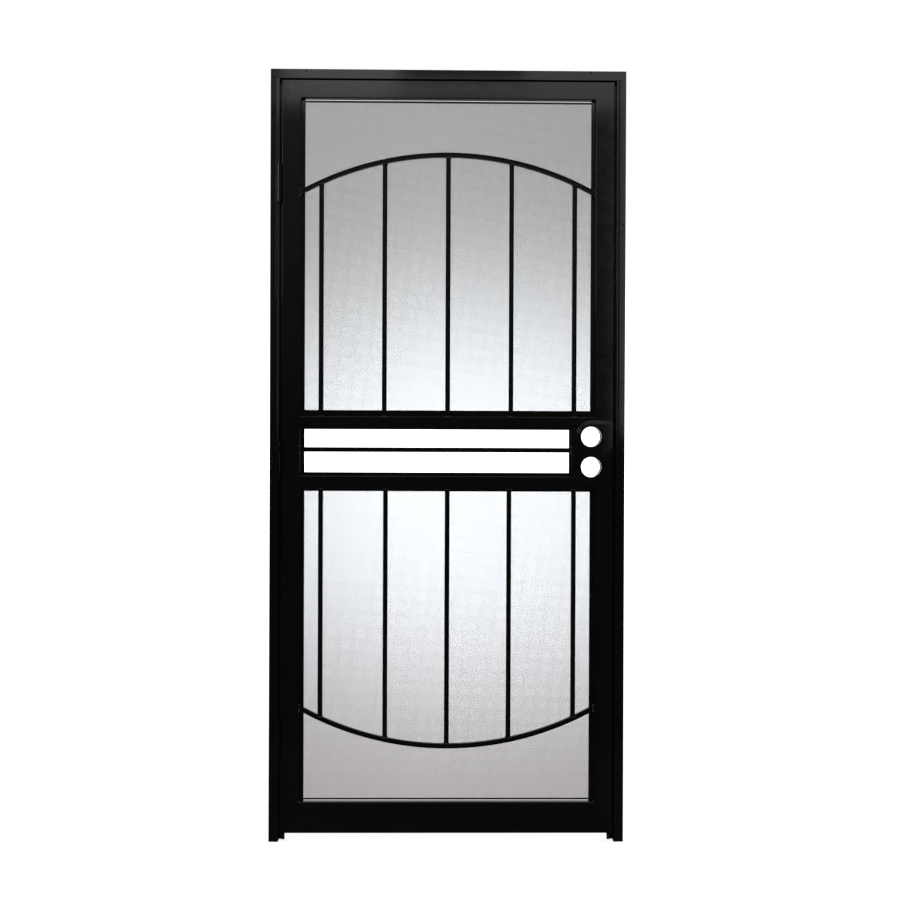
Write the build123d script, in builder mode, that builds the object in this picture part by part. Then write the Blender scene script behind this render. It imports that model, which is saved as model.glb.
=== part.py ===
"""Steel storm door leaf hung in its surface-mounted steel frame.

Millimetres. Z is up, the wall plane is y = 0 and the outside of the door looks
towards -Y. The origin is the middle of the hinge jamb's wall face at its foot.
"""

import os

from build123d import *

os.makedirs("parts", exist_ok=True)

# Frame
frame_width = 952.5
frame_height = 2070.0
jamb_face = 25.4
jamb_depth = 38.1
tube_wall = 1.6
jamb_bead_width = 10.0
jamb_groove = 1.4
jamb_groove_depth = 0.7
jamb_edge_radius = 2.0
frame_edge_radius = 1.2
side_gap = 5.0
top_gap = 4.5
foot_gap = 24.0

# Closing stops and seals behind the leaf
stop_width = 15.0
stop_thickness = 3.2
seal_width = 8.0
seal_thickness = 5.0
seal_clearance = 0.8

# Wall screws
wall_screw_radius = 2.6
wall_screw_inset = 7.0
header_screw_inset = 5.5
hinge_side_screws = 5
lock_side_screws = 4
lowest_screw = 172.0
highest_screw_drop = 198.0
header_screws = 3
header_screw_pitch = 381.0

# Leaf tubes
leaf_depth = 25.4
stile_face = 50.8
stile_fin = 11.0
fin_thickness = 1.6
tube_corner = 2.0
top_rail_face = 47.0
lower_mid_foot = 947.2
lower_mid_face = 34.9
lower_mid_fin_above = 9.6
lower_mid_fin_below = 6.4
lock_zone = 135.6
upper_mid_face = 24.2
upper_mid_fin_above = 16.4
upper_mid_fin_below = 10.7
bottom_rail_top = 106.0

# Bottom expander and sweep
expander_wall = 1.4
expander_cover = 62.5
expander_play = 8.0
expander_ribs = 5
expander_rib = 0.9
expander_rib_width = 3.0
expander_stop_gap = 2.0
sweep_thickness = 6.0
sweep_drop = 2.0
sweep_inset = 4.0

# Bars
bar_size = 12.7
bar_setback = 2.0
bar_to_fin = 0.3
outer_picket = 339.6
upper_inner_picket = 169.8
lower_inner_picket = 165.7
arch_radius = 812.0
upper_arch_drop = 149.6
lower_arch_rise = 150.5
middle_bar_rise = 3.2

# Screens and the strips that hold them
screen_thickness = 1.0
screen_clearance = 0.3
screen_bite = 2.0
strip_gap = 3.6
upper_strip = 4.6
lower_strip = 3.8
retainer_width = 9.5
retainer_end = 5.5
retainer_thickness = 3.0

# Lock box, pressed pads and lock bores
lock_bore_radius = 27.0
lock_backset = 60.3
lock_bore_spacing = 81.4
lock_bore_drop = 1.2
lock_box_width = 62.0
lock_box_fin = 6.0
pad_side_reach = 40.5
pad_end_reach = 43.8
pad_rise = 6.0
pad_ramp = 9.5
pad_edge_margin = 1.2
pad_seal_clearance = 4.0
latch_bore_radius = 11.1
strike_height = 44.0
strike_width = 16.0

# Hinges
hinge_height = 100.0
hinge_plate = 2.0
hinge_plate_depth = 24.0
barrel_radius = 6.5
barrel_standoff = 1.5
pin_radius = 3.5
pin_fit = 0.08
knuckle_gap = 0.5
pin_end_radius = 4.6
pin_end_rise = 2.6
barrel_inset = 2.0
bottom_hinge = 279.0
top_hinge_drop = 306.0

# Positions worked out from the sizes above
frame_left = -jamb_face / 2
frame_right = frame_left + frame_width
hinge_jamb_inner = frame_left + jamb_face
lock_jamb_inner = frame_right - jamb_face
header_foot = frame_height - jamb_face
front = -jamb_depth
centre = (frame_left + frame_right) / 2
screw_pitch = (frame_height - highest_screw_drop - lowest_screw) / (hinge_side_screws - 1)

leaf_left = hinge_jamb_inner + side_gap
leaf_right = lock_jamb_inner - side_gap
leaf_top = header_foot - top_gap
leaf_back = front + leaf_depth
leaf_middle = (front + leaf_back) / 2
clear_left = leaf_left + stile_face
clear_right = leaf_right - stile_face
top_rail_foot = leaf_top - top_rail_face
lower_mid_top = lower_mid_foot + lower_mid_face
upper_mid_foot = lower_mid_top + lock_zone
upper_mid_top = upper_mid_foot + upper_mid_face
expander_foot = foot_gap
expander_top = expander_foot + expander_cover
leaf_foot = expander_foot + expander_wall + expander_play

seal_front = leaf_back + seal_clearance
stop_front = seal_front + seal_thickness
stop_back = stop_front + stop_thickness

bar_front = front + bar_setback
bar_back = bar_front + bar_size
fin_front = bar_back + bar_to_fin
fin_back = fin_front + fin_thickness
screen_back = fin_back + screen_thickness
retainer_back = screen_back + retainer_thickness
upper_strip_top = top_rail_foot - strip_gap
lower_strip_foot = bottom_rail_top + strip_gap
slot_foot = lower_mid_top + lower_mid_fin_above
slot_top = upper_mid_foot - upper_mid_fin_below
middle_bar_height = (slot_foot + slot_top) / 2 + middle_bar_rise
upper_arch_centre = top_rail_foot - upper_arch_drop - arch_radius
lower_arch_centre = bottom_rail_top + lower_arch_rise + arch_radius

lock_box_left = clear_right - lock_box_width
lock_bore_x = leaf_right - lock_backset
lock_middle = (lower_mid_top + upper_mid_foot) / 2 - lock_bore_drop
lock_bores = (lock_middle - lock_bore_spacing / 2, lock_middle + lock_bore_spacing / 2)
pad_left = lock_bore_x - pad_side_reach
pad_foot = lock_bores[0] - pad_end_reach
pad_top = lock_bores[1] + pad_end_reach

barrel_x = hinge_jamb_inner - barrel_inset
barrel_y = front - barrel_standoff - barrel_radius
top_hinge = frame_height - top_hinge_drop
middle_hinge = (bottom_hinge + top_hinge) / 2


def block(x0, x1, y0, y1, z0, z1, mode=Mode.ADD):
    """Box between two opposite corners."""
    with Locations(((x0 + x1) / 2, (y0 + y1) / 2, (z0 + z1) / 2)):
        Box(x1 - x0, y1 - y0, z1 - z0, mode=mode)


def tube_hole(x, z, radius, y0, y1):
    """Round hole running front to back."""
    with Locations(Location((x, (y0 + y1) / 2, z), (90, 0, 0))):
        Cylinder(radius, y1 - y0, mode=Mode.SUBTRACT)


def edge_hole(x, y, z, radius, depth):
    """Round hole running sideways through a tube's edge."""
    with Locations(Location((x, y, z), (0, 90, 0))):
        Cylinder(radius, depth, mode=Mode.SUBTRACT)


def save(part, name):
    """Name the part and write it beside the others."""
    part.label = name
    export_step(part, "parts/" + name + ".step")


def rounded(picker, radius):
    """Rounds the edges of the part being built that the picker chooses."""
    fillet([e for e in edges() if picker(e.center(), e)], radius)


# Frame: two jambs with the header across their tops

def jamb(x0, x1, inner, side):
    """Open-ended jamb tube with a beaded strip along its inner front edge."""
    block(x0, x1, front, 0, 0, header_foot)
    rounded(lambda c, e: abs(c.X - inner) < 0.1 and abs(c.Y - front) < 0.1,
            jamb_edge_radius)
    groove = inner - side * jamb_bead_width
    block(groove - jamb_groove / 2, groove + jamb_groove / 2,
          front, front + jamb_groove_depth, 0, header_foot, Mode.SUBTRACT)
    block(x0 + tube_wall, x1 - tube_wall, front + tube_wall, -tube_wall,
          0, header_foot, Mode.SUBTRACT)


with BuildPart() as hinge_jamb:
    jamb(frame_left, hinge_jamb_inner, hinge_jamb_inner, 1)
    for i in range(hinge_side_screws):
        tube_hole(frame_left + wall_screw_inset, lowest_screw + i * screw_pitch,
                  wall_screw_radius, front - 1, 1)
save(hinge_jamb.part, "hinge_jamb")

with BuildPart() as lock_jamb:
    jamb(lock_jamb_inner, frame_right, lock_jamb_inner, -1)
    for i in range(lock_side_screws):
        tube_hole(frame_right - wall_screw_inset, lowest_screw + (i + 0.5) * screw_pitch,
                  wall_screw_radius, front - 1, 1)
    for z in lock_bores:
        block(lock_jamb_inner - 1, lock_jamb_inner + tube_wall * 1.5,
              leaf_middle - strike_width / 2, leaf_middle + strike_width / 2,
              z - strike_height / 2, z + strike_height / 2, Mode.SUBTRACT)
save(lock_jamb.part, "lock_jamb")

with BuildPart() as header:
    block(frame_left, frame_right, front, 0, header_foot, frame_height)
    rounded(lambda c, e: abs(c.Z - header_foot) < 0.1 and abs(c.Y - front) < 0.1,
            frame_edge_radius)
    block(frame_left + tube_wall, frame_right - tube_wall, front + tube_wall, -tube_wall,
          header_foot + tube_wall, frame_height - tube_wall, Mode.SUBTRACT)
    for i in range(header_screws):
        tube_hole(centre + (i - (header_screws - 1) / 2) * header_screw_pitch,
                  frame_height - header_screw_inset, wall_screw_radius, front - 1, 1)
save(header.part, "header")

# Stops and seals behind the leaf

with BuildPart() as hinge_stop:
    block(hinge_jamb_inner, hinge_jamb_inner + stop_width, stop_front, stop_back,
          0, header_foot)
save(hinge_stop.part, "hinge_stop")

with BuildPart() as lock_stop:
    block(lock_jamb_inner - stop_width, lock_jamb_inner, stop_front, stop_back,
          0, header_foot)
save(lock_stop.part, "lock_stop")

with BuildPart() as head_stop:
    block(hinge_jamb_inner + stop_width, lock_jamb_inner - stop_width,
          stop_front, stop_back, header_foot - stop_width, header_foot)
save(head_stop.part, "head_stop")

head_seal_foot = header_foot - stop_width

with BuildPart() as hinge_seal:
    block(hinge_jamb_inner + stop_width - seal_width, hinge_jamb_inner + stop_width,
          seal_front, stop_front, 0, head_seal_foot)
save(hinge_seal.part, "hinge_seal")

with BuildPart() as lock_seal:
    block(lock_jamb_inner - stop_width, lock_jamb_inner - stop_width + seal_width,
          seal_front, stop_front, 0, head_seal_foot)
save(lock_seal.part, "lock_seal")

with BuildPart() as head_seal:
    block(hinge_jamb_inner + stop_width - seal_width,
          lock_jamb_inner - stop_width + seal_width,
          seal_front, stop_front, head_seal_foot, head_seal_foot + seal_width)
save(head_seal.part, "head_seal")

# Leaf stiles

def soften(x, side, z0, z1):
    """Rounds a stile's inner front edge over the height of one opening."""
    block(min(x, x - side * tube_corner), max(x, x - side * tube_corner),
          front, front + tube_corner, z0, z1, Mode.SUBTRACT)
    with Locations((x - side * tube_corner, front + tube_corner, (z0 + z1) / 2)):
        Cylinder(tube_corner, z1 - z0)


def stile(x0, x1, inner, side):
    """Stile tube, capped at the top, with its fins between the rails."""
    block(x0, x1, front, leaf_back, leaf_foot, leaf_top)
    rounded(lambda c, e: abs(c.X - inner) > stile_face * 0.9 and abs(c.Y - front) < 0.1,
            tube_corner)
    openings = [(bottom_rail_top, lower_mid_foot), (upper_mid_top, top_rail_foot)]
    if side > 0:
        openings.append((lower_mid_top, upper_mid_foot))
    for z0, z1 in openings:
        soften(inner, side, z0, z1)
    block(x0 + tube_wall, x1 - tube_wall, front + tube_wall, leaf_back - tube_wall,
          leaf_foot, leaf_top - tube_wall, Mode.SUBTRACT)
    for z0, z1 in openings:
        block(min(inner, inner + side * stile_fin), max(inner, inner + side * stile_fin),
              fin_front, fin_back, z0, z1)


with BuildPart() as hinge_stile:
    stile(leaf_left, clear_left, clear_left, 1)
save(hinge_stile.part, "hinge_stile")

with BuildPart() as lock_stile:
    stile(clear_right, leaf_right, clear_right, -1)
    for z in lock_bores:
        tube_hole(lock_bore_x, z, lock_bore_radius, front - 1, leaf_back + 1)
        edge_hole(leaf_right, leaf_middle, z, latch_bore_radius, tube_wall * 4)
save(lock_stile.part, "lock_stile")

# Leaf rails

def rail(z0, z1, soft_edges):
    """Rail tube butted between the stiles, with its named front edges rounded."""
    block(clear_left, clear_right, front, leaf_back, z0, z1)
    for z in soft_edges:
        rounded(lambda c, e: abs(c.Z - z) < 0.1 and abs(c.Y - front) < 0.1, tube_corner)
    block(clear_left - 1, clear_right + 1, front + tube_wall, leaf_back - tube_wall,
          z0 + tube_wall, z1 - tube_wall, Mode.SUBTRACT)


def rail_fin(z0, z1, x1):
    """Screen fin along a rail, between the stile fins."""
    block(clear_left + stile_fin, x1, fin_front, fin_back, z0, z1)


with BuildPart() as top_rail:
    rail(top_rail_foot, leaf_top, (top_rail_foot,))
save(top_rail.part, "top_rail")

with BuildPart() as upper_mid_rail:
    rail(upper_mid_foot, upper_mid_top, (upper_mid_foot, upper_mid_top))
    rail_fin(upper_mid_top, upper_mid_top + upper_mid_fin_above, clear_right - stile_fin)
    rail_fin(slot_top, upper_mid_foot, lock_box_left - lock_box_fin)
save(upper_mid_rail.part, "upper_mid_rail")

with BuildPart() as lower_mid_rail:
    rail(lower_mid_foot, lower_mid_top, (lower_mid_foot, lower_mid_top))
    rail_fin(lower_mid_top, slot_foot, lock_box_left - lock_box_fin)
    rail_fin(lower_mid_foot - lower_mid_fin_below, lower_mid_foot, clear_right - stile_fin)
    tube_hole(lock_bore_x, lock_bores[0], lock_bore_radius, front - 1, leaf_back + 1)
save(lower_mid_rail.part, "lower_mid_rail")

with BuildPart() as bottom_rail:
    rail(leaf_foot, bottom_rail_top, (bottom_rail_top,))
save(bottom_rail.part, "bottom_rail")

# Ribbed expander slipped over the foot of the leaf, with its sweep

with BuildPart() as bottom_expander:
    block(leaf_left, leaf_right, front - expander_wall, front, expander_foot, expander_top)
    block(leaf_left, leaf_right, front, leaf_back,
          expander_foot, expander_foot + expander_wall)
    block(hinge_jamb_inner + stop_width + expander_stop_gap,
          lock_jamb_inner - stop_width - expander_stop_gap,
          leaf_back, leaf_back + expander_wall, expander_foot, expander_top)
    rib_pitch = (expander_cover - expander_rib_width) / expander_ribs
    for i in range(1, expander_ribs + 1):
        z = expander_foot + i * rib_pitch
        block(leaf_left, leaf_right, front - expander_wall - expander_rib,
              front - expander_wall, z, z + expander_rib_width)
save(bottom_expander.part, "bottom_expander")

with BuildPart() as bottom_sweep:
    block(leaf_left + sweep_inset, leaf_right - sweep_inset,
          leaf_middle - sweep_thickness / 2, leaf_middle + sweep_thickness / 2,
          expander_foot - sweep_drop, expander_foot)
save(bottom_sweep.part, "bottom_sweep")

# Lock box and its two pressed pads

with BuildPart() as lock_box:
    block(lock_box_left, clear_right, front, leaf_back, lower_mid_top, upper_mid_foot)
    rounded(lambda c, e: abs(c.X - lock_box_left) < 0.1 and abs(c.Y - front) < 0.1,
            tube_corner)
    block(lock_box_left + tube_wall, clear_right + 1, front + tube_wall,
          leaf_back - tube_wall, lower_mid_top - 1, upper_mid_foot + 1, Mode.SUBTRACT)
    block(lock_box_left - lock_box_fin, lock_box_left, fin_front, fin_back,
          lower_mid_top, upper_mid_foot)
    for z in lock_bores:
        tube_hole(lock_bore_x, z, lock_bore_radius, front - 1, leaf_back + 1)
    # The lower bore runs into the rail, so the scrap of plate beside it goes too
    block(lock_bore_x, clear_right + 1, front - 1, leaf_back + 1,
          lower_mid_top - 1, lock_bores[0], Mode.SUBTRACT)
save(lock_box.part, "lock_box")


def pad_outline(x0, x1, z0, z1, radius):
    """Plate outline with its two hinge-side corners rounded."""
    half = (x1 - x0) / 2
    Rectangle(x1 - x0, z1 - z0)
    left = [v for v in vertices() if v.X < -half + 0.1]
    fillet(left, radius)


def pad(x1, y0, direction):
    """Raised plate with ramped sides, bored for the two locks."""
    middle = (pad_foot + pad_top) / 2
    outlines = []
    for step, inset in ((0, 0), (pad_rise, pad_ramp)):
        edge = x1 if step == 0 else x1 - pad_edge_margin
        plane = Plane(origin=((pad_left + inset + edge) / 2, y0 + direction * step, middle),
                      x_dir=(1, 0, 0), z_dir=(0, -1, 0))
        with BuildSketch(plane) as outline:
            pad_outline(pad_left + inset, edge, pad_foot + inset, pad_top - inset,
                        pad_side_reach - inset)
        outlines.append(outline.sketch)
    loft(sections=outlines)
    for z in lock_bores:
        tube_hole(lock_bore_x, z, lock_bore_radius,
                  y0 - pad_rise * 2, y0 + pad_rise * 2)


with BuildPart() as front_lock_pad:
    pad(leaf_right - pad_edge_margin, front, -1)
save(front_lock_pad.part, "front_lock_pad")

with BuildPart() as back_lock_pad:
    pad(lock_jamb_inner - stop_width - pad_seal_clearance, leaf_back, 1)
save(back_lock_pad.part, "back_lock_pad")

# Bars

with BuildPart() as middle_bar:
    block(clear_left, lock_box_left, bar_front, bar_back,
          middle_bar_height - bar_size / 2, middle_bar_height + bar_size / 2)
save(middle_bar.part, "middle_bar")


def arch(height, side):
    """Bowed bar between the stiles, crown up for side 1 and down for side -1."""
    plane = Plane(origin=(centre, bar_front, height), x_dir=(1, 0, 0), z_dir=(0, -1, 0))
    width = clear_right - clear_left
    with BuildSketch(plane) as outline:
        Circle(arch_radius + bar_size / 2)
        Circle(arch_radius - bar_size / 2, mode=Mode.SUBTRACT)
        with Locations((0, side * arch_radius)):
            Rectangle(width, arch_radius, mode=Mode.INTERSECT)
    extrude(outline.sketch, amount=-bar_size)


with BuildPart() as upper_arch:
    arch(upper_arch_centre, 1)
save(upper_arch.part, "upper_arch")

with BuildPart() as lower_arch:
    arch(lower_arch_centre, -1)
save(lower_arch.part, "lower_arch")


def picket(x, z0, z1, arch_height):
    """Upright bar from a mid rail to the inside of an arch."""
    half = bar_size / 2
    block(x - half, x + half, bar_front, bar_back, z0, z1)
    with Locations(Location((centre, (bar_front + bar_back) / 2, arch_height), (90, 0, 0))):
        Cylinder(arch_radius - half, bar_size * 2, mode=Mode.INTERSECT)


def picket_places(inner):
    """Bar centres either side of the middle one."""
    return [centre + d for d in (-outer_picket, -inner, 0, inner, outer_picket)]


for number, x in enumerate(picket_places(upper_inner_picket), start=1):
    with BuildPart() as upper_picket:
        picket(x, upper_mid_top, upper_arch_centre + arch_radius, upper_arch_centre)
    save(upper_picket.part, "upper_picket_" + str(number))

for number, x in enumerate(picket_places(lower_inner_picket), start=1):
    with BuildPart() as lower_picket:
        picket(x, lower_arch_centre - arch_radius, lower_mid_foot, lower_arch_centre)
    save(lower_picket.part, "lower_picket_" + str(number))

# Screens, the edge strip at the open end of each and the retainers behind

sheet_left = clear_left + screen_clearance
sheet_right = clear_right - screen_clearance


def screen(z0, z1):
    """Sheet that stands for the fine mesh, flat behind the fins."""
    block(sheet_left, sheet_right, fin_back, screen_back, z0, z1)


with BuildPart() as upper_screen:
    screen(upper_mid_top + screen_clearance, upper_strip_top - screen_bite)
save(upper_screen.part, "upper_screen")

with BuildPart() as lower_screen:
    screen(lower_strip_foot + screen_bite, lower_mid_foot - screen_clearance)
save(lower_screen.part, "lower_screen")


def edge_strip(z0, z1, bite0, bite1):
    """Channel strip along the free edge of a screen."""
    block(sheet_left, sheet_right, fin_back, retainer_back, z0, z1)
    block(clear_left + stile_fin, clear_right - stile_fin, fin_front, fin_back, z0, z1)
    block(sheet_left, sheet_right, fin_back, screen_back, bite0, bite1, Mode.SUBTRACT)


with BuildPart() as upper_edge_strip:
    edge_strip(upper_strip_top - upper_strip, upper_strip_top,
               upper_strip_top - upper_strip, upper_strip_top - screen_bite)
save(upper_edge_strip.part, "upper_edge_strip")

with BuildPart() as lower_edge_strip:
    edge_strip(lower_strip_foot, lower_strip_foot + lower_strip,
               lower_strip_foot + screen_bite, lower_strip_foot + lower_strip)
save(lower_edge_strip.part, "lower_edge_strip")


def retainer(z0, z1, end0, end1):
    """Two side strips joined by one end strip behind a screen."""
    block(sheet_left, sheet_right, screen_back, retainer_back, z0, z1)
    block(sheet_left + retainer_width, sheet_right - retainer_width,
          screen_back, retainer_back, z0 + end0, z1 - end1, Mode.SUBTRACT)


with BuildPart() as upper_retainer:
    retainer(upper_mid_top + screen_clearance, upper_strip_top - upper_strip,
             retainer_width, 0)
save(upper_retainer.part, "upper_retainer")

with BuildPart() as lower_retainer:
    retainer(lower_strip_foot + lower_strip, lower_mid_foot - screen_clearance,
             0, retainer_end)
save(lower_retainer.part, "lower_retainer")

# Hinges: two frame knuckles and the pin on the jamb, one knuckle on the leaf

knuckle = hinge_height * 0.3


def barrel(z0, z1):
    """Knuckle cylinder on the hinge axis."""
    with Locations((barrel_x, barrel_y, (z0 + z1) / 2)):
        Cylinder(barrel_radius, z1 - z0)


def frame_hinge(z):
    """Plate on the jamb's inner face with its outer knuckles and the pin."""
    z0 = z - hinge_height / 2
    z1 = z + hinge_height / 2
    x0 = hinge_jamb_inner
    half = hinge_plate / 2
    block(x0, x0 + hinge_plate, front, front + hinge_plate_depth, z0, z1)
    for low, high in ((z0, z0 + knuckle), (z1 - knuckle, z1)):
        block(x0, x0 + hinge_plate, barrel_y - half, front, low, high)
        block(barrel_x, x0, barrel_y - half, barrel_y + half, low, high)
        barrel(low, high)
    with Locations((barrel_x, barrel_y, z)):
        Cylinder(pin_radius, hinge_height)
    with Locations((barrel_x, barrel_y, z1), (barrel_x, barrel_y, z0)):
        Cylinder(pin_end_radius, pin_end_rise * 2)


def leaf_hinge(z):
    """Plate on the leaf's edge with its middle knuckle."""
    z0 = z - hinge_height / 2
    z1 = z + hinge_height / 2
    low = z0 + knuckle + knuckle_gap
    high = z1 - knuckle - knuckle_gap
    half = hinge_plate / 2
    block(leaf_left - hinge_plate, leaf_left, front, front + hinge_plate_depth, z0, z1)
    block(leaf_left - hinge_plate, leaf_left, barrel_y - half, front, low, high)
    block(barrel_x, leaf_left, barrel_y - half, barrel_y + half, low, high)
    barrel(low, high)
    with Locations((barrel_x, barrel_y, z)):
        Cylinder(pin_radius + pin_fit, hinge_height, mode=Mode.SUBTRACT)


for name, z in (("bottom", bottom_hinge), ("middle", middle_hinge), ("top", top_hinge)):
    with BuildPart() as frame_half:
        frame_hinge(z)
    save(frame_half.part, "frame_hinge_" + name)
    with BuildPart() as leaf_half:
        leaf_hinge(z)
    save(leaf_half.part, "leaf_hinge_" + name)
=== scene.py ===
"""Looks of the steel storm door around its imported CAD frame."""

import math
import random

import bmesh
import bpy
from mathutils import Matrix, Vector


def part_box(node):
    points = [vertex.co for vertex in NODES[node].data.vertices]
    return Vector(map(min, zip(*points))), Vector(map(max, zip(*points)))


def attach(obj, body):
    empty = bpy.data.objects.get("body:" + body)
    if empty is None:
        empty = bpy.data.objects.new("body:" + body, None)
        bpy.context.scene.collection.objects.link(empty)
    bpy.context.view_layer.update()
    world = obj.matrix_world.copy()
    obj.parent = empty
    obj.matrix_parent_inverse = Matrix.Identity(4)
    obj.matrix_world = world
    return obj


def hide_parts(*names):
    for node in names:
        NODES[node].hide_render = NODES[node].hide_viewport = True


MM = 0.001

# Camera, fitted to the edges and bars of the door
CAMERA_PLACE = (0.40129, -4.0381, 1.07565)
CAMERA_PAN = 0.01725
CAMERA_TILT = -0.00581
CAMERA_ROLL = 0.00391
CAMERA_LENS = 59.66
SENSOR_WIDTH = 36.0
CLIP_START = 0.05
CLIP_END = 50.0


def add_camera():
    data = bpy.data.cameras.new("camera")
    data.lens = CAMERA_LENS
    data.sensor_width = SENSOR_WIDTH
    data.clip_start = CLIP_START
    data.clip_end = CLIP_END
    cam = bpy.data.objects.new("camera", data)
    bpy.context.scene.collection.objects.link(cam)
    turn = (Matrix.Rotation(-CAMERA_PAN, 4, "Z")
            @ Matrix.Rotation(math.pi / 2 + CAMERA_TILT, 4, "X")
            @ Matrix.Rotation(CAMERA_ROLL, 4, "Z"))
    cam.matrix_world = Matrix.Translation(CAMERA_PLACE) @ turn
    bpy.context.scene.camera = cam


add_camera()
bpy.context.scene.view_settings.view_transform = "Standard"
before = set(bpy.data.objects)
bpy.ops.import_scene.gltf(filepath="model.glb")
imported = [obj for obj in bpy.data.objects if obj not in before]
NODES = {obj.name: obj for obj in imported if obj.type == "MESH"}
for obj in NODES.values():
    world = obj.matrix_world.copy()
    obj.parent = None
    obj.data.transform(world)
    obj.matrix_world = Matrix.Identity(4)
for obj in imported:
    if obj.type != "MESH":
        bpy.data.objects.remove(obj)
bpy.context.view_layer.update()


# Materials

PATCH_SCALE = 9.0
GRIME_SCALE = 40.0
PEEL_SCALE = 420.0
PEEL_STRENGTH = 0.08
PEEL_DEPTH = 0.12 * MM
GRAIN_SCALE = 260.0
GRAIN_STRENGTH = 0.3
GRAIN_DEPTH = 0.2 * MM
# Where a noise's middle tones start and end
TONES = (0.3, 0.7)


def new_material(name):
    mat = bpy.data.materials.new(name)
    mat.use_nodes = True
    tree = mat.node_tree
    return mat, tree, tree.nodes["Principled BSDF"]


def noise(tree, scale, detail=2.0, rough=0.5):
    place = tree.nodes.new("ShaderNodeTexCoord")
    tex = tree.nodes.new("ShaderNodeTexNoise")
    tex.inputs["Scale"].default_value = scale
    tex.inputs["Detail"].default_value = detail
    tex.inputs["Roughness"].default_value = rough
    tree.links.new(place.outputs["Object"], tex.inputs["Vector"])
    return tex


def ramp(tree, source, low, high, start=0.0, end=1.0):
    node = tree.nodes.new("ShaderNodeMapRange")
    node.inputs["From Min"].default_value = start
    node.inputs["From Max"].default_value = end
    node.inputs["To Min"].default_value = low
    node.inputs["To Max"].default_value = high
    tree.links.new(source, node.inputs["Value"])
    return node.outputs["Result"]


def mix_colour(tree, source, low, high):
    node = tree.nodes.new("ShaderNodeMix")
    node.data_type = "RGBA"
    node.inputs[6].default_value = (*low, 1.0)
    node.inputs[7].default_value = (*high, 1.0)
    tree.links.new(source, node.inputs[0])
    return node.outputs[2]


def bump(tree, source, strength, distance):
    node = tree.nodes.new("ShaderNodeBump")
    node.inputs["Strength"].default_value = strength
    node.inputs["Distance"].default_value = distance
    tree.links.new(source, node.inputs["Height"])
    return node.outputs["Normal"]


def paint(name, dark, light, rough_low, rough_high):
    """Semi-gloss powder coat with a fine orange peel."""
    mat, tree, bsdf = new_material(name)
    patches = noise(tree, PATCH_SCALE, detail=3.0)
    peel = noise(tree, PEEL_SCALE)
    grime = noise(tree, GRIME_SCALE, detail=4.0, rough=0.6)
    colour = mix_colour(tree, ramp(tree, patches.outputs["Fac"], 0.0, 1.0, *TONES),
                        dark, light)
    tree.links.new(colour, bsdf.inputs["Base Color"])
    tree.links.new(ramp(tree, grime.outputs["Fac"], rough_low, rough_high, *TONES),
                   bsdf.inputs["Roughness"])
    tree.links.new(bump(tree, peel.outputs["Fac"], PEEL_STRENGTH, PEEL_DEPTH),
                   bsdf.inputs["Normal"])
    return mat


def rubber(name, dark, light, rough_low, rough_high):
    """Matte black weather seal."""
    mat, tree, bsdf = new_material(name)
    grain = noise(tree, GRAIN_SCALE, detail=3.0)
    colour = mix_colour(tree, grain.outputs["Fac"], dark, light)
    tree.links.new(colour, bsdf.inputs["Base Color"])
    tree.links.new(ramp(tree, grain.outputs["Fac"], rough_low, rough_high),
                   bsdf.inputs["Roughness"])
    tree.links.new(bump(tree, grain.outputs["Fac"], GRAIN_STRENGTH, GRAIN_DEPTH),
                   bsdf.inputs["Normal"])
    return mat


PAINT = paint("black_powder_coat", (0.0011, 0.0010, 0.0009), (0.0019, 0.0018, 0.0016),
              0.06, 0.10)
WIRE = paint("screen_wire_coat", (0.0060, 0.0060, 0.0064), (0.0100, 0.0100, 0.0106),
             0.45, 0.6)
# Welds: a colour several times lighter than the door's black paint, a painted highlight
# standing in for the glints their lumps catch; the rougher finish is real
WELD_COAT_WITH_PAINTED_HIGHLIGHT = paint("weld_coat_painted_highlight", (0.0060, 0.0058, 0.0056), (0.0180, 0.0175, 0.0170),
             0.22, 0.40)
SEAL = rubber("seal_rubber", (0.008, 0.008, 0.008), (0.014, 0.014, 0.015),
              0.62, 0.82)

for name, node in NODES.items():
    mat = SEAL if name.endswith(("_seal", "_sweep")) else PAINT
    for each in node.material_slots:
        each.material = mat


# Mesh helpers

DISC_SIDES = 24
FINE_BALL = 3


def make_object(name, mesh_builder, material, body):
    bm = bmesh.new()
    mesh_builder(bm)
    bmesh.ops.recalc_face_normals(bm, faces=bm.faces)
    mesh = bpy.data.meshes.new(name)
    bm.to_mesh(mesh)
    bm.free()
    mesh.materials.append(material)
    obj = bpy.data.objects.new(name, mesh)
    bpy.context.scene.collection.objects.link(obj)
    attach(obj, body)
    return obj


def prism(bm, x0, x1, y0, y1, z0, z1):
    """Straight bar between two opposite corners."""
    corners = [bm.verts.new((x, y, z)) for x in (x0, x1) for y in (y0, y1)
               for z in (z0, z1)]
    for a, b, c, d in ((0, 1, 3, 2), (4, 6, 7, 5), (0, 4, 5, 1),
                       (2, 3, 7, 6), (0, 2, 6, 4), (1, 5, 7, 3)):
        bm.faces.new((corners[a], corners[b], corners[c], corners[d]))


def disc(bm, centre, radius, length):
    """Closed round disc along Y."""
    turn = Matrix.Rotation(math.pi / 2, 4, "X")
    bmesh.ops.create_cone(bm, cap_ends=True, segments=DISC_SIDES, radius1=radius,
                          radius2=radius, depth=length,
                          matrix=Matrix.Translation(centre) @ turn)


def ball(bm, centre, size_x, size_y, size_z, detail=2):
    """Round blob, squashed to three half sizes."""
    bmesh.ops.create_icosphere(bm, subdivisions=detail, radius=1.0,
                               matrix=Matrix.Translation(centre)
                               @ Matrix.Diagonal((size_x, size_y, size_z, 1.0)))


def bridge(bm, first, second):
    """Band of faces between two closed rings with the same number of points."""
    for i in range(len(first)):
        j = (i + 1) % len(first)
        bm.faces.new((first[i], first[j], second[j], second[i]))


def smooth(obj, degrees=35.0):
    """Smooth shading that keeps edges sharper than the angle."""
    obj.data.polygons.foreach_set("use_smooth", [True] * len(obj.data.polygons))
    obj.data.set_sharp_from_angle(angle=math.radians(degrees))


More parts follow.
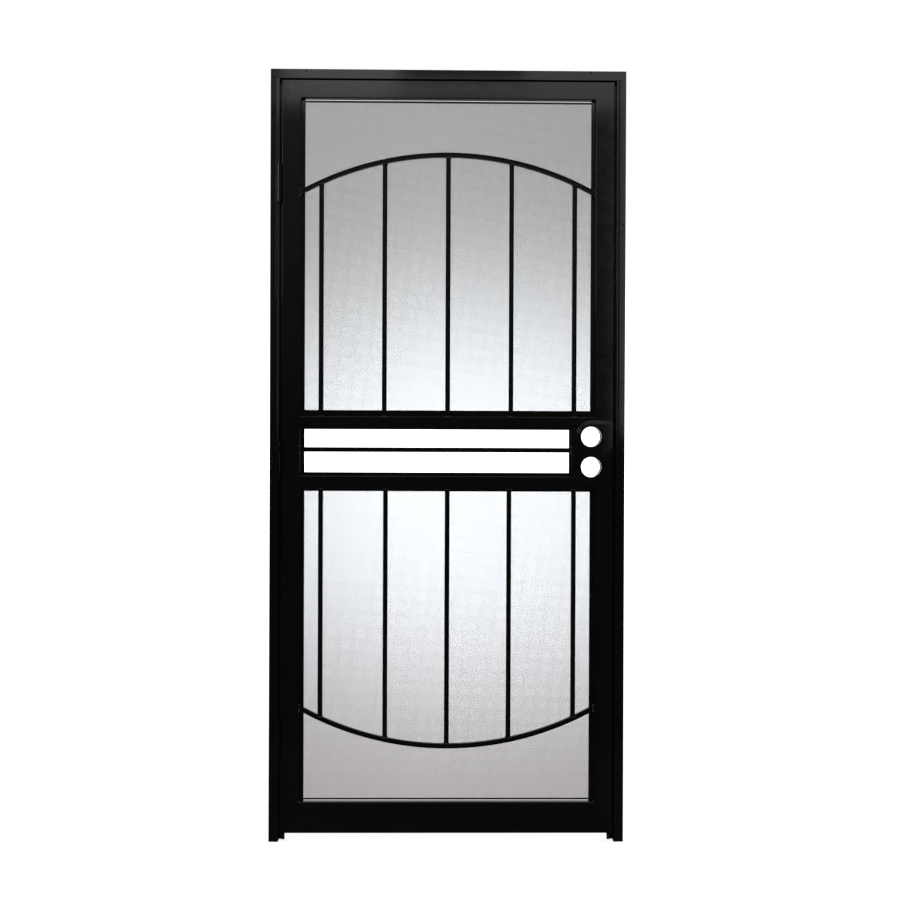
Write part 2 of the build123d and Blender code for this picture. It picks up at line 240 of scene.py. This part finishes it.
# Screens: two crossed layers of fine wire

WIRE_PITCH = 1.3 * MM
WIRE_WIDTH = 0.445 * MM


def wires(node):
    low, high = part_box(node)

    def build(bm):
        middle = (low[1] + high[1]) / 2
        count = int((high[0] - low[0] - WIRE_WIDTH) / WIRE_PITCH)
        start = (low[0] + high[0] - count * WIRE_PITCH) / 2
        for i in range(count + 1):
            x = start + i * WIRE_PITCH
            prism(bm, x - WIRE_WIDTH / 2, x + WIRE_WIDTH / 2, low[1], middle,
                  low[2], high[2])
        count = int((high[2] - low[2] - WIRE_WIDTH) / WIRE_PITCH)
        start = (low[2] + high[2] - count * WIRE_PITCH) / 2
        for i in range(count + 1):
            z = start + i * WIRE_PITCH
            prism(bm, low[0], high[0], middle, high[1],
                  z - WIRE_WIDTH / 2, z + WIRE_WIDTH / 2)
    return build


for window in ("upper_screen", "lower_screen"):
    piece = make_object(window + "_wires", wires(window), WIRE, "leaf")
    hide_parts(window)


# Lock pads: pressed plates whose ramps roll smoothly into the face and the leaf

PAD_RAMP = 9.5 * MM
PAD_CORNER = 40.5 * MM
PAD_MARGIN = 1.2 * MM
PAD_STEPS = 12
PAD_TURN = 5
PAD_EDGE_ANGLE = 50.0
BORE_RADIUS = 27.0 * MM
BORE_BACKSET = 60.3 * MM
BORE_SPACING = 81.4 * MM


def pad_ring(low, high, inset):
    """Outline points with round hinge-side corners, drawn in by the inset."""
    radius = PAD_CORNER - inset
    x0 = low[0] + inset
    x1 = high[0] - min(inset, PAD_MARGIN)
    z0 = low[2] + inset
    z1 = high[2] - inset
    points = [(x1, z0)]
    for centre_z, first in ((z0 + radius, 270), (z1 - radius, 180)):
        for i in range(90 // PAD_TURN + 1):
            turn = math.radians(first - i * PAD_TURN)
            points.append((x0 + radius + radius * math.cos(turn),
                           centre_z + radius * math.sin(turn)))
    points.append((x1, z1))
    return points


def closed_edges(bm, ring):
    return [bm.edges.get((a, b)) or bm.edges.new((a, b))
            for a, b in zip(ring, ring[1:] + ring[:1])]


def pad(node, seat_side):
    low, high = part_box(node)
    seat, face = (high[1], low[1]) if seat_side > 0 else (low[1], high[1])
    bore_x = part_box("lock_stile")[1][0] - BORE_BACKSET
    middle = (low[2] + high[2]) / 2

    def build(bm):
        rings = []
        for k in range(PAD_STEPS + 1):
            t = k / PAD_STEPS
            y = seat + (face - seat) * (3 * t * t - 2 * t * t * t)
            rings.append([bm.verts.new((x, y, z))
                          for x, z in pad_ring(low, high, PAD_RAMP * t)])
        for first, second in zip(rings, rings[1:]):
            bridge(bm, first, second)
        bores = []
        for z in (middle - BORE_SPACING / 2, middle + BORE_SPACING / 2):
            turns = [math.radians(i * PAD_TURN) for i in range(360 // PAD_TURN)]
            both = [[bm.verts.new((bore_x + BORE_RADIUS * math.cos(t), y,
                                   z + BORE_RADIUS * math.sin(t))) for t in turns]
                    for y in (seat, face)]
            bridge(bm, *both)
            bores.append(both)
        for end, ring in enumerate((rings[0], rings[-1])):
            edges = closed_edges(bm, ring)
            for both in bores:
                edges += closed_edges(bm, both[end])
            bmesh.ops.triangle_fill(bm, use_beauty=True, use_dissolve=False, edges=edges)
    return build


for node, side in (("front_lock_pad", 1), ("back_lock_pad", -1)):
    piece = make_object(node + "_pressing", pad(node, side), PAINT, "leaf")
    smooth(piece, PAD_EDGE_ANGLE)
    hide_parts(node)


# Welds where each bar meets a tube or another bar

WELD_SIZE = 1.7 * MM
WELD_STEP = 2.0 * MM
WELD_SPREAD = (0.75, 1.2)
WELD_FLATNESS = 0.8
LUMP_RADIUS = 3.3 * MM
LUMP_RISE = 2.2 * MM
LUMP_GAP = 2.2 * MM
LUMP_ASIDE = 0.8 * MM
LUMP_FORWARD = 0.9 * MM
ARCH_END = 0.6
ARCH_LEAN = 1.0 * MM
ARCH_SEAT = 0.5 * MM
CORNER_RADIUS = 3.0 * MM
CORNER_RISE = 2.0 * MM
CORNER_DEPTH = 1.6 * MM
CORNER_RUN_DEPTH = 2.5 * MM
CORNER_INSET = 0.4 * MM
PICKETS = 5
BAR = 12.7 * MM
chance = random.Random(11)

clear_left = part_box("top_rail")[0][0]
clear_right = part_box("top_rail")[1][0]
bar_low, bar_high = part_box("middle_bar")
bar_front = bar_low[1]
bar_back = bar_high[1]


def weld_run(bm, start, end):
    """Row of overlapping uneven drops between two points."""
    a = Vector(start)
    b = Vector(end)
    count = max(2, int((b - a).length / WELD_STEP) + 1)
    for i in range(count):
        size = WELD_SIZE * chance.uniform(*WELD_SPREAD)
        ball(bm, a.lerp(b, i / (count - 1)), size, size * WELD_FLATNESS, size)


def bar_end_upright(bm, x, z):
    """Welds round the end of an upright bar: across its front and along both sides."""
    half = BAR / 2
    weld_run(bm, (x - half, bar_front, z), (x + half, bar_front, z))
    for side in (-1, 1):
        weld_run(bm, (x + side * half, bar_front, z), (x + side * half, bar_back, z))


def bar_end_level(bm, x, z, lean=0.0):
    """Welds round the end of a level bar; lean sets those above and below further off."""
    half = BAR / 2
    weld_run(bm, (x, bar_front, z - half), (x, bar_front, z + half))
    for side in (-1, 1):
        weld_run(bm, (x, bar_front, z + side * (half + lean)),
                 (x, bar_back, z + side * (half + lean)))


def weld_lumps(bm, x, z):
    """Heavy drops above and below a bar's end, on the fin that carries it."""
    for side in (-1, 1):
        ball(bm, (x - LUMP_ASIDE, bar_front - LUMP_FORWARD,
                  z + side * (BAR / 2 + LUMP_GAP)),
             LUMP_RADIUS, LUMP_RISE, LUMP_RADIUS, FINE_BALL)


def picket_welds(bm):
    for group, arch_end, rail_end in (("upper", 1, 0), ("lower", 0, 1)):
        for number in range(1, PICKETS + 1):
            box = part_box("%s_picket_%d" % (group, number))
            x = (box[0][0] + box[1][0]) / 2
            bar_end_upright(bm, x, box[rail_end][2])
            bar_end_upright(bm, x, box[arch_end][2] - ARCH_SEAT * (2 * arch_end - 1))


def side_welds(bm):
    for node, end in (("upper_arch", 0), ("lower_arch", 1)):
        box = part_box(node)
        z = box[end][2] + (1 - 2 * end) * BAR * ARCH_END
        for x in (clear_left, clear_right):
            bar_end_level(bm, x, z, ARCH_LEAN)
            weld_lumps(bm, x, z)
    z = (bar_low[2] + bar_high[2]) / 2
    for x in (bar_low[0], bar_high[0]):
        bar_end_level(bm, x, z)
        weld_lumps(bm, x, z)


def corner_welds(bm):
    """Fillets in the inner corners where the rails butt against the stiles."""
    corners = [(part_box("top_rail")[0][2], -1), (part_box("bottom_rail")[1][2], 1)]
    leaf_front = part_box("hinge_stile")[0][1]
    for z, way in corners:
        for x, side in ((clear_left, 1), (clear_right, -1)):
            ball(bm, (x, leaf_front + CORNER_DEPTH, z),
                 CORNER_RADIUS, CORNER_RISE, CORNER_RADIUS, FINE_BALL)
            weld_run(bm, (x, leaf_front + CORNER_RUN_DEPTH, z + way * CORNER_INSET),
                     (x + side * CORNER_INSET, bar_back, z + way * CORNER_INSET))


for name, builder in (("picket_welds", picket_welds), ("side_welds", side_welds),
                      ("corner_welds", corner_welds)):
    smooth(make_object(name, builder, WELD_COAT_WITH_PAINTED_HIGHLIGHT, "leaf"))


# Hinge pins: a domed head at the top and bottom of each frame knuckle

BARREL_RADIUS = 6.5 * MM
PIN_HEAD_RADIUS = 5.2 * MM
PIN_HEAD_RISE = 1.9 * MM


def pin_heads(bm):
    for place in ("bottom", "middle", "top"):
        low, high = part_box("frame_hinge_" + place)
        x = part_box("leaf_hinge_" + place)[0][0] + BARREL_RADIUS
        y = low[1] + BARREL_RADIUS
        for z, way in ((high[2], -1), (low[2], 1)):
            ball(bm, (x, y, z + way * PIN_HEAD_RISE),
                 PIN_HEAD_RADIUS, PIN_HEAD_RADIUS, PIN_HEAD_RISE, FINE_BALL)


smooth(make_object("hinge_pin_heads", pin_heads, PAINT, "frame"))


# Screws in the retaining strips behind the screens

SCREW_PITCH = 190.0 * MM
STRIP_MIDDLE = 4.75 * MM
NARROW_STRIP = 0.6
UPRIGHT_INSET = 40.0 * MM
LEVEL_INSET = 70.0 * MM
HEAD_RADIUS = 2.5 * MM
HEAD_EDGE = 0.8 * MM
HEAD_DOME = 1.0 * MM


def spaced(low, high, inset):
    count = max(2, round((high - low - 2 * inset) / SCREW_PITCH) + 1)
    return [low + inset + (high - low - 2 * inset) * i / (count - 1) for i in range(count)]


def retainer_screws(bm):
    for node, end in (("upper_retainer", 0), ("lower_retainer", 1)):
        low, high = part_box(node)
        places = [(x, z) for z in spaced(low[2], high[2], UPRIGHT_INSET)
                  for x in (low[0] + STRIP_MIDDLE, high[0] - STRIP_MIDDLE)]
        edge_z = (low[2] + STRIP_MIDDLE if end == 0
                  else high[2] - STRIP_MIDDLE * NARROW_STRIP)
        places += [(x, edge_z) for x in spaced(low[0], high[0], LEVEL_INSET)]
        for x, z in places:
            disc(bm, (x, high[1] + HEAD_EDGE / 2, z), HEAD_RADIUS, HEAD_EDGE)
            ball(bm, (x, high[1] + HEAD_EDGE, z), HEAD_RADIUS, HEAD_DOME, HEAD_RADIUS)


smooth(make_object("retainer_screws", retainer_screws, PAINT, "leaf"))


# Wall screws: round heads sunk in the holes of the jambs and the header

JAMB_SCREW_INSET = 7.0 * MM
HEADER_SCREW_INSET = 5.5 * MM
LOWEST_SCREW = 172.0 * MM
SCREW_STEP = 425.0 * MM
HEADER_SCREW_STEP = 381.0 * MM
HINGE_SIDE_SCREWS = 5
LOCK_SIDE_SCREWS = 4
HEADER_SCREWS = 3
SCREW_SIDES = 20
# Radius and depth behind the jamb's front face, from the middle of the head to the tip
SCREW_PROFILE = [(0.5, 1.7), (0.9, 1.1), (1.7, 0.9), (2.25, 1.2), (2.5, 1.8), (2.5, 2.8),
                 (1.5, 4.2), (1.5, 23.0), (0.4, 25.0)]


def screw(bm, x, y, z):
    rings = []
    for radius, depth in SCREW_PROFILE:
        ring = []
        for i in range(SCREW_SIDES):
            turn = 2 * math.pi * i / SCREW_SIDES
            ring.append(bm.verts.new((x + radius * MM * math.cos(turn), y + depth * MM,
                                      z + radius * MM * math.sin(turn))))
        rings.append(ring)
    for first, second in zip(rings, rings[1:]):
        bridge(bm, first, second)
    bm.faces.new(rings[0][::-1])
    bm.faces.new(rings[-1])


def wall_screws(bm):
    hinge_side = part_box("hinge_jamb")
    lock_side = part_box("lock_jamb")
    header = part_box("header")
    middle = (header[0][0] + header[1][0]) / 2
    for i in range(HINGE_SIDE_SCREWS):
        screw(bm, hinge_side[0][0] + JAMB_SCREW_INSET, hinge_side[0][1],
              LOWEST_SCREW + i * SCREW_STEP)
    for i in range(LOCK_SIDE_SCREWS):
        screw(bm, lock_side[1][0] - JAMB_SCREW_INSET, lock_side[0][1],
              LOWEST_SCREW + (i + 0.5) * SCREW_STEP)
    for i in range(HEADER_SCREWS):
        screw(bm, middle + (i - (HEADER_SCREWS - 1) / 2) * HEADER_SCREW_STEP, header[0][1],
              header[1][2] - HEADER_SCREW_INSET)


smooth(make_object("wall_screws", wall_screws, PAINT, "frame"))


# Rolled bead along the inner edge of each jamb's face. A profile lists, from left to right,
# the distance from the bead's left edge and the rise off the jamb's face, in mm.

HINGE_BEAD_INSET = 3.0 * MM
LOCK_BEAD_INSET = 0.6 * MM
HINGE_BEAD = [(0.0, 0.0), (0.3, 0.7), (0.7, 1.2), (1.2, 1.32), (1.5, 1.3), (1.8, 1.25),
              (4.6, 0.66), (7.0, 0.155), (7.4, 0.067), (7.7, 0.0)]
LOCK_BEAD = [(0.0, 0.0), (0.2, 0.5), (0.5, 0.8), (0.9, 0.9), (1.3, 0.91), (3.4, 0.91),
             (5.6, 0.91), (6.0, 0.88), (6.6, 0.72), (8.4, 0.12), (8.8, 0.0)]
BEAD_SEAT = 0.2 * MM
BEAD_EDGE_ANGLE = 60.0


def bead(bm, x0, y, z0, z1, profile):
    outline = [(x0 + along * MM, y - rise * MM) for along, rise in profile]
    outline = [(outline[0][0], y + BEAD_SEAT)] + outline + [(outline[-1][0], y + BEAD_SEAT)]
    foot = [bm.verts.new((px, py, z0)) for px, py in outline]
    top = [bm.verts.new((px, py, z1)) for px, py in outline]
    bridge(bm, foot, top)
    bm.faces.new(foot[::-1])
    bm.faces.new(top)


def jamb_beads(bm):
    foot_of_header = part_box("header")[0][2]
    low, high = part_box("hinge_jamb")
    bead(bm, high[0] - HINGE_BEAD_INSET - HINGE_BEAD[-1][0] * MM, low[1], low[2],
         min(high[2], foot_of_header), HINGE_BEAD)
    low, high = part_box("lock_jamb")
    bead(bm, low[0] + LOCK_BEAD_INSET, low[1], low[2], min(high[2], foot_of_header),
         LOCK_BEAD)


smooth(make_object("jamb_beads", jamb_beads, PAINT, "frame"),
       BEAD_EDGE_ANGLE)


# Light

def area_light(name, place, target, size_x, size_y, power):
    data = bpy.data.lights.new(name, "AREA")
    data.shape = "RECTANGLE"
    data.size = size_x
    data.size_y = size_y
    data.energy = power
    obj = bpy.data.objects.new(name, data)
    bpy.context.scene.collection.objects.link(obj)
    obj.location = place
    aim = Vector(target) - Vector(place)
    obj.rotation_euler = aim.to_track_quat("-Z", "Y").to_euler()


LIGHT_WALL = -4.4
# Left, right, foot, top and mirrored strength of each softbox behind the camera
SOFTBOXES = {
    "top_left_softbox": (-0.41, 0.25, 2.97, 3.60, 1.34),
    "top_middle_softbox": (0.25, 0.95, 2.99, 3.10, 0.98),
    "top_right_softbox": (0.95, 1.75, 2.94, 3.60, 0.92),
    "right_strip_softbox": (1.50, 1.67, 1.13, 2.93, 1.10),
}


def softbox(name, x0, x1, z0, z1, shine):
    """Upright softbox behind the camera that mirrors in the paint at the given strength."""
    area = (x1 - x0) * (z1 - z0)
    middle = ((x0 + x1) / 2, LIGHT_WALL, (z0 + z1) / 2)
    area_light(name, middle, (middle[0], 0.0, middle[2]), x1 - x0, z1 - z0,
               shine * math.pi * area)


for name, sides in SOFTBOXES.items():
    softbox(name, *sides)
area_light("left_softbox", place=(-1.9, -3.2, 2.4), target=(0.0, 0.0, 1.8),
           size_x=0.7, size_y=1.2, power=18.0)
area_light("overhead_softbox", place=(0.5, -1.2, 4.2), target=(0.5, 0.0, 1.6),
           size_x=2.0, size_y=0.8, power=6.0)


# World: strengths, and the ranges of the ray's direction over which they change

PLAIN_LIGHT = 0.8
DARK_ROOM = 0.033
FLOOR_SHINE = 0.05
TOP_SHINE = 0.35
HIGH_SHINE = 0.18
SIDE_SHINE = 0.05
TINT_RANGE = (-0.20, -0.10)
BACK_RANGE = (-0.03, 0.05)
FLOOR_RANGE = (-0.22, -0.14)
TOP_RANGE = (0.16, 0.24)
SIDE_RANGE = (-0.80, -0.35)
ROOM_RANGE = (0.0, 0.24)
WHITE = (1.0, 1.0, 1.0)
LOW_TINT = (1.11, 1.05, 1.07)
# The bright spot behind the door: place and spread across and up, in the ray's direction
GLOW = 1.38
GLOW_EDGE = 1.6
GLOW_TINT = (0.95, 1.0, 1.06)
GLOW_PLACE = (0.0370, -0.0335)
GLOW_SPREAD = (0.148, 0.115)


def add_world():
    """White backdrop, brightest behind the door's middle, and a dim room in front.

    The camera sees the backdrop all round, shiny paint mirrors backdrop and room, and all
    other light comes evenly from every side.
    """
    world = bpy.data.worlds.new("studio")
    bpy.context.scene.world = world
    world.use_nodes = True
    tree = world.node_tree
    tree.nodes.clear()
    out = tree.nodes.new("ShaderNodeOutputWorld")
    path = tree.nodes.new("ShaderNodeLightPath")
    place = tree.nodes.new("ShaderNodeTexCoord")
    split = tree.nodes.new("ShaderNodeSeparateXYZ")
    tree.links.new(place.outputs["Generated"], split.inputs["Vector"])
    along_x, along_y, along_z = [split.outputs[k] for k in "XYZ"]

    def maths(operation, a, b=None):
        node = tree.nodes.new("ShaderNodeMath")
        node.operation = operation
        for i, value in enumerate((a, b)):
            if value is None:
                continue
            if isinstance(value, (int, float)):
                node.inputs[i].default_value = value
            else:
                tree.links.new(value, node.inputs[i])
        return node.outputs[0]

    def step(value, between, low, high):
        return ramp(tree, value, low, high, *between)

    def backdrop(strength, colour=WHITE):
        node = tree.nodes.new("ShaderNodeBackground")
        if isinstance(colour, tuple):
            node.inputs["Color"].default_value = (*colour, 1.0)
        else:
            tree.links.new(colour, node.inputs["Color"])
        if isinstance(strength, float):
            node.inputs["Strength"].default_value = strength
        else:
            tree.links.new(strength, node.inputs["Strength"])
        return node.outputs[0]

    def mixed(factor, first, second):
        node = tree.nodes.new("ShaderNodeMixShader")
        tree.links.new(factor, node.inputs[0])
        tree.links.new(first, node.inputs[1])
        tree.links.new(second, node.inputs[2])
        return node.outputs[0]

    def added(first, second):
        node = tree.nodes.new("ShaderNodeAddShader")
        tree.links.new(first, node.inputs[0])
        tree.links.new(second, node.inputs[1])
        return node.outputs[0]

    dx = maths("DIVIDE", maths("SUBTRACT", along_x, GLOW_PLACE[0]), GLOW_SPREAD[0])
    dz = maths("DIVIDE", maths("SUBTRACT", along_z, GLOW_PLACE[1]), GLOW_SPREAD[1])
    square = maths("ADD", maths("MULTIPLY", dx, dx), maths("MULTIPLY", dz, dz))
    fall = maths("POWER", square, GLOW_EDGE)
    glow = maths("MULTIPLY", GLOW, maths("EXPONENT", maths("MULTIPLY", fall, -0.5)))
    behind = maths("GREATER_THAN", along_y, 0.0)
    glow = maths("MULTIPLY", glow, behind)
    plain = mix_colour(tree, step(along_z, TINT_RANGE, 0.0, 1.0), LOW_TINT, WHITE)
    seen = added(backdrop(1.0, plain), backdrop(glow, GLOW_TINT))

    edge = step(along_y, BACK_RANGE, 0.0, 1.0)
    above_floor = step(along_z, FLOOR_RANGE, FLOOR_SHINE, 1.0)
    below_top = step(along_z, TOP_RANGE, 1.0, TOP_SHINE)
    aside = step(along_x, SIDE_RANGE, SIDE_SHINE, 1.0)
    wall_shine = maths("MULTIPLY", maths("ADD", 1.0, glow),
                       maths("MULTIPLY", maths("MULTIPLY", above_floor, below_top), aside))
    room_shine = step(along_z, ROOM_RANGE, DARK_ROOM, HIGH_SHINE)
    shine = maths("ADD", maths("MULTIPLY", edge, wall_shine),
                  maths("MULTIPLY", maths("SUBTRACT", 1.0, edge), room_shine))
    mirrored = maths("MAXIMUM", path.outputs["Is Glossy Ray"],
                     path.outputs["Is Transmission Ray"])
    around = mixed(mirrored, backdrop(PLAIN_LIGHT), backdrop(shine))
    tree.links.new(mixed(path.outputs["Is Camera Ray"], around, seen),
                   out.inputs["Surface"])


add_world()


# Floor: pale, and white to the camera apart from the door's soft shadow

FLOOR_FRONT = -1.3
FLOOR_BACK = 0.38
FLOOR_SIDE = 1.7
FLOOR_COLOUR = (0.8, 0.8, 0.8, 1.0)
FLOOR_SHADED = (0.45, 0.45, 0.45, 1.0)
FLOOR_WHITE = 0.78


def floor_material():
    """Plain to the light, nearly white to the camera and dark to the door's shine."""
    mat, tree, bsdf = new_material("pale_floor")
    tree.nodes.remove(bsdf)
    path = tree.nodes.new("ShaderNodeLightPath")
    plain = tree.nodes.new("ShaderNodeBsdfDiffuse")
    plain.inputs["Color"].default_value = FLOOR_COLOUR
    shaded = tree.nodes.new("ShaderNodeBsdfDiffuse")
    shaded.inputs["Color"].default_value = FLOOR_SHADED
    white = tree.nodes.new("ShaderNodeEmission")
    white.inputs["Strength"].default_value = FLOOR_WHITE
    lit = tree.nodes.new("ShaderNodeAddShader")
    mix = tree.nodes.new("ShaderNodeMixShader")
    mirrored = tree.nodes.new("ShaderNodeEmission")
    mirrored.inputs["Strength"].default_value = FLOOR_SHINE
    pick = tree.nodes.new("ShaderNodeMixShader")
    tree.links.new(shaded.outputs[0], lit.inputs[0])
    tree.links.new(white.outputs[0], lit.inputs[1])
    tree.links.new(path.outputs["Is Camera Ray"], mix.inputs[0])
    tree.links.new(plain.outputs[0], mix.inputs[1])
    tree.links.new(lit.outputs[0], mix.inputs[2])
    tree.links.new(path.outputs["Is Glossy Ray"], pick.inputs[0])
    tree.links.new(mix.outputs[0], pick.inputs[1])
    tree.links.new(mirrored.outputs[0], pick.inputs[2])
    tree.links.new(pick.outputs[0], tree.nodes["Material Output"].inputs["Surface"])
    return mat


def add_floor():
    low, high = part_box("header")
    middle = (low[0] + high[0]) / 2
    bm = bmesh.new()
    corners = [(middle - FLOOR_SIDE, FLOOR_FRONT), (middle + FLOOR_SIDE, FLOOR_FRONT),
               (middle + FLOOR_SIDE, FLOOR_BACK), (middle - FLOOR_SIDE, FLOOR_BACK)]
    bm.faces.new([bm.verts.new((x, y, 0.0)) for x, y in corners])
    mesh = bpy.data.meshes.new("floor")
    bm.to_mesh(mesh)
    bm.free()
    floor = bpy.data.objects.new("floor", mesh)
    bpy.context.scene.collection.objects.link(floor)
    mesh.materials.append(floor_material())


add_floor()
